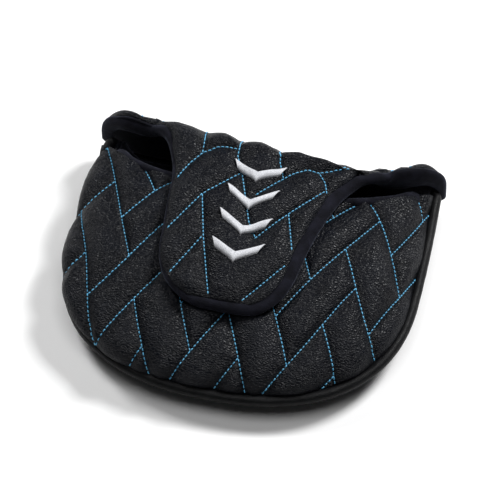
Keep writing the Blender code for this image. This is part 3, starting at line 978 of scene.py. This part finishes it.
def build_tongue():
    layout = grid(np.linspace(0, 1, 116), graded(140, 1.15))
    u, v, faces, _ = layout
    outer = tongue_panel(u, v)
    normals = facing(normals_of(outer, faces), UP)
    s = tongue_s(v)
    seams = flap_seams()
    raised, near = quilt_offsets(outer, seams)
    left, right = tongue_sides(v)
    to_tip = s + TONGUE_PANEL_SHARE * (TONGUE_START - TONGUE_END)
    inside = np.minimum(np.minimum(right - outer[:, 0], outer[:, 0] - left), to_tip)
    fade = smooth((ARCH_LENGTH - s) / FOLD_FADE)
    raised = raised * (0.25 + 0.75 * smooth(inside / EDGE_FADE)) * fade
    raised += edge_drop(inside, *TONGUE_EDGE)
    skin = outer + normals * raised[:, None]
    quilt = quilted("tongue_quilt", skin, tongue_panel(u, v, FLAP_PAD), layout, near)
    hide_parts("tongue_leather", "tongue_foam")
    bend_at_fold(quilt)
    bend_at_fold(stitches("tongue_stitches", seams, outer, skin, faces, UP))
    layout = grid(np.linspace(0, 1, 40), graded(60, 1.15))
    share = np.linspace(0, 1, 80)
    across, along = tongue_panel(share, np.full(80, 0.0)), tongue_panel(np.full(80, 0.5), share)
    plush = lining("tongue_plush", "tongue_quilt", FLAP_PAD, tongue_panel, layout, across, along)
    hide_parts("tongue_lining")
    bend_at_fold(plush)
    build_flap_edge()
    build_chevrons(tree_of(skin, faces, UP))


def bend_at_fold(obj):
    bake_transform(obj)


def build_flap_edge():
    """The plush roll round the flap: down one ear's end, along its top on the inside, round
    the tongue, and the same on the other side."""
    stations = []
    v = graded(110, 1.6)
    for side, u_edge in ((-1, 0.015), (1, 1.0)):
        end = 0.5 + side / 2
        root = 0.5 + side * (ARCH_ROOT_HALF - 1 * MM) / BASE_HALF_WIDTH / 2
        up, over = np.linspace(0.0, EAR_ROLL_UP, 30), np.linspace(end, root, 40)[1:]
        from_end = BASE_HALF_WIDTH * (1 - np.abs(2 * over - 1))
        inward = EAR_ROLL_DEPTH + EAR_ROLL_IN * smooth(from_end / EAR_ROLL_IN_OVER)
        ear = base_point(np.full_like(up, end), up, EAR_ROLL_DEPTH)
        top = base_point(over, np.full_like(over, EAR_ROLL_UP), inward)
        edge = np.full_like(v, u_edge)
        back = np.tile(np.array(BACK, float), (len(up) + len(over), 1))
        path = np.concatenate([ear, top, tongue_panel(edge, v, TONGUE_ROLL_DEPTH)])
        normal = np.concatenate([back, panel_normal(edge, v)])
        on_tongue = RIGHT_ROLL if side > 0 else LEFT_ROLL
        ear_end, ear_top = (RIGHT_END_ROLL, RIGHT_EAR_ROLL) if side > 0 else (EAR_ROLL, EAR_ROLL)
        on_ear = np.concatenate([np.full_like(up, ear_end), np.full_like(over, ear_top)])
        wide = np.concatenate([on_ear, 1.0 + (on_tongue - 1.0) * smooth(v / 0.3)])
        stations.append((path, normal, wide))
    tip_u = np.linspace(0, 1, 30)[1:-1]
    ones = np.ones_like(tip_u)
    left, right = stations
    tip_path = tongue_panel(tip_u, ones, TONGUE_ROLL_DEPTH)
    tip = tip_path, panel_normal(tip_u, ones), np.full_like(tip_u, TIP_ROLL)
    path, normal, wide = (np.concatenate([left[k], tip[k], right[k][::-1]]) for k in range(3))
    along = lengths_along(path)
    at = np.arange(0.0, along[-1], 0.7 * MM)
    rows = [smoothed(np.interp(at, along, values), 60) for values in (*path.T, *normal.T, wide)]
    path, normal, wide = np.stack(rows[:3], -1), np.stack(rows[3:6], -1), rows[6]
    edge = roll("flap_edge_roll", path, normal, EDGE_ROLL / 2 * wide, EDGE_ROLL_HIGH, VELVET)
    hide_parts("tongue_binding", "ear_binding_left", "ear_binding_right")
    bend_at_fold(edge)


def smoothed(values, times):
    """The values, each evened out with its neighbours a number of times; the ends stay."""
    for _ in range(times):
        values = np.concatenate([values[:1], (values[:-2] + 2 * values[1:-1] + values[2:]) / 4, values[-1:]])
    return values


def panel_normal(u, v):
    """Unit normals of the tongue panel, pointing up."""
    small = 1e-3
    inside_u, inside_v = np.clip(u, small, 1 - small), np.clip(v, small, 1 - small)
    across = tongue_panel(inside_u + small, inside_v) - tongue_panel(inside_u - small, inside_v)
    along = tongue_panel(inside_u, inside_v + small) - tongue_panel(inside_u, inside_v - small)
    normal = np.cross(along, across)
    return facing(normal / np.linalg.norm(normal, axis=1, keepdims=True), UP)


def padded_level(tree, x, y):
    """The height of the panel under the embroidery, evened out over a few millimetres."""
    reach_out = 1.8 * MM
    heights = []
    for dx in (-reach_out, 0.0, reach_out):
        for dy in (-reach_out, 0.0, reach_out):
            hit = tree.ray_cast(Vector((x + dx, y + dy, 1.0)), Vector((0, 0, -1)))
            heights.append(hit[0].z)
    return sum(heights) / len(heights)


def build_chevrons(tree):
    """Satin-stitched chevrons of closely laid white threads, raised in the middle."""
    for number in range(1, CHEVRON_COUNT + 1):
        node = f"chevron_{number}"
        low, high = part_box(node)
        half = (high.x - low.x) / 2
        drop = (high.y - low.y) - CHEVRON_BAND
        paths = []
        for x in np.arange(-half, half + 0.1 * MM, CHEVRON_PITCH):
            slant = CHEVRON_SLANT * np.tanh(x / CHEVRON_NOTCH)
            y = high.y - MOUTH - drop * (1 - abs(x) / half)
            bar = []
            for t in np.linspace(0, 1, 7):
                px, py = x + slant * (1 - 2 * t), y - CHEVRON_BAND * t
                arch = CHEVRON_RISE * (1 - (2 * t - 1) ** 4) - 0.1 * MM
                bar.append((px, py, padded_level(tree, px, py) + arch))
            paths.append(bar)
        radii = np.array([0.6, 1, 1, 1, 1, 1, 0.6]) * SATIN_RADIUS
        points, faces = bars(np.array(paths), np.broadcast_to(UP, np.shape(paths)), radii, 6)
        chevron = make_object(f"chevron_embroidery_{number}", points, faces, WHITE_THREAD)
        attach(chevron, "flap_tongue")
        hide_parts(node)


def build_base():
    layout = grid(np.linspace(0, 1, 200), np.linspace(0, 1, 44))
    u, v, faces, _ = layout
    outer = base_point(u, v)
    normals = facing(normals_of(outer, faces), BACK)
    low, high = base_edges(outer[:, 0])
    seams = base_seams()
    raised, near = quilt_offsets(outer, seams)
    to_end = BASE_HALF_WIDTH - np.abs(outer[:, 0])
    at_fold = np.abs(outer[:, 0]) < ARCH_ROOT_HALF
    to_top = np.where(at_fold, 99 * MM, high - outer[:, 2])
    inside = np.minimum(np.minimum(to_end, to_top), outer[:, 2] - low)
    fade = np.where(at_fold, smooth((high - outer[:, 2]) / FOLD_FADE), 1.0)
    raised = raised * (0.2 + 0.8 * smooth(inside / EDGE_FADE)) * fade
    raised += edge_drop(inside, *BASE_EDGE)
    skin = outer + normals * raised[:, None]
    quilt = quilted("base_quilt", skin, base_point(u, v, FLAP_PAD), layout, near)
    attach(quilt, "flap_base")
    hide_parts("base_leather", "base_foam")
    thread = stitches("base_stitches", seams, outer, skin, faces, BACK)
    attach(thread, "flap_base")
    layout = grid(np.linspace(0, 1, 90), np.linspace(0, 1, 20))
    share = np.linspace(0, 1, 80)
    across, along = base_point(share, np.full(80, 0.3)), base_point(np.full(80, 0.5), share)
    plush = lining("base_plush", "base_quilt", FLAP_PAD, base_point, layout, across, along)
    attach(plush, "flap_base")
    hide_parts("base_lining")
    build_hinge_band()


def build_hinge_band():
    """The leather band that sews the flap to the sole's straight edge."""
    half, low_top, top = 55 * MM, 7.0 * MM, 9.5 * MM

    def point(u, v, depth=0.0):
        x = (2 * u - 1) * half
        end = smooth((half - np.abs(x)) / (14 * MM))
        crest = low_top + (top - low_top) * end
        end_y = base_y(x, crest) + 0.7 * MM * end - 0.3 * MM * (1 - end)
        y = bezier((0.2 * MM, 6.2 * MM, (7.2 + 1.2 * end) * MM - depth, end_y - depth), v)
        z = bezier((0.7 * MM, 0.1 * MM, 0.45 * crest, crest), v) + depth * (1 - v)
        return np.stack([x, y, z], -1)

    u, v, faces, border = grid(np.linspace(0, 1, 120), np.linspace(0, 1, 26))
    outer = point(u, v)
    wrinkle = 0.15 * MM * field(outer, 4 * MM, 11) * smooth((v - 0.3) / 0.3)
    outer[:, 1] += wrinkle
    band = make_object("hinge_band", *closed(outer, point(u, v, 0.9 * MM), faces, border), LEATHER)
    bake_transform(band)
    across = np.linspace(0.01, 0.99, 300)
    row = point(across, np.full_like(across, 0.9))
    thread = stitches("hinge_band_stitches", [row], outer, outer, faces, BACK)
    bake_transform(thread)


def finish_magnets():
    for name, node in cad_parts.items():
        if "magnet" in name:
            node.data.materials.clear()
            node.data.materials.append(MAGNET_METAL)


# ---------------------------------------------------------------- studio

AZIMUTH, ELEVATION, DISTANCE = radians(13), radians(51), 1.5
FRAME_WIDTH, SENSOR = 171.5 * MM, 36.0
AIM_RIGHT, AIM_UP, AIM_Z = 3.0 * MM, 5.5 * MM, 15 * MM
FLOOR_HALF = 6.0
SOFTBOXES = [  # name, azimuth, elevation, distance, side, watts
    ("key", 140, 44, 1.3, 0.38, 20),
    ("left", -125, 45, 1.3, 0.35, 9),
    ("front", 20, 80, 1.4, 0.8, 6),
]


def build_camera():
    right = Vector((cos(AZIMUTH), sin(AZIMUTH), 0.0))
    to_camera = Vector((sin(AZIMUTH) * cos(ELEVATION), -cos(AZIMUTH) * cos(ELEVATION), sin(ELEVATION)))
    up = to_camera.cross(right)
    aim = Vector((0.0, 0.0, AIM_Z)) + right * AIM_RIGHT + up * AIM_UP
    data = bpy.data.cameras.new("camera")
    data.sensor_width = SENSOR
    data.lens = SENSOR * DISTANCE / FRAME_WIDTH
    data.clip_start, data.clip_end = 0.05, 20.0
    camera = bpy.data.objects.new("camera", data)
    camera.location = aim + to_camera * DISTANCE
    camera.rotation_mode = "QUATERNION"
    camera.rotation_quaternion = (-to_camera).to_track_quat("-Z", "Y")
    bpy.context.scene.collection.objects.link(camera)
    bpy.context.scene.camera = camera


def softbox(name, azimuth, elevation, distance, side, power):
    """A soft square light that looks at the origin. Azimuth 0 is in front, at -Y."""
    data = bpy.data.lights.new(name, "AREA")
    data.shape = "RECTANGLE"
    data.size = data.size_y = side
    data.energy = power
    light = bpy.data.objects.new(name, data)
    a, e = radians(azimuth), radians(elevation)
    away = Vector((sin(a) * cos(e), -cos(a) * cos(e), sin(e)))
    light.location = away * distance
    light.rotation_mode = "QUATERNION"
    light.rotation_quaternion = (-away).to_track_quat("-Z", "Y")
    bpy.context.scene.collection.objects.link(light)


def build_studio():
    mesh = bpy.data.meshes.new("floor")
    corners = [(-1, -1), (1, -1), (1, 1), (-1, 1)]
    mesh.from_pydata([(FLOOR_HALF * x, FLOOR_HALF * y, 0) for x, y in corners], [], [(0, 1, 2, 3)])
    floor = bpy.data.objects.new("floor", mesh)
    floor.location.z = -0.1 * MM
    bpy.context.scene.collection.objects.link(floor)
    material, tree, shader = new_material("paper")
    values = {"Base Color": rgba(grey(0.9)), "Roughness": 0.9, "Specular IOR Level": 0.1}
    set_inputs(tree, shader, values)
    mesh.materials.append(material)
    world = bpy.data.worlds.new("studio")
    world.use_nodes = True
    background = world.node_tree.nodes["Background"]
    set_inputs(world.node_tree, background, {"Color": (1, 1, 1, 1), "Strength": 0.03})
    bpy.context.scene.world = world
    for settings in SOFTBOXES:
        softbox(*settings)
    bpy.context.scene.view_settings.view_transform = "Standard"


build_camera()
build_studio()
build_crown()
build_sole()
build_edgings()
build_base()
build_tongue()
finish_magnets()
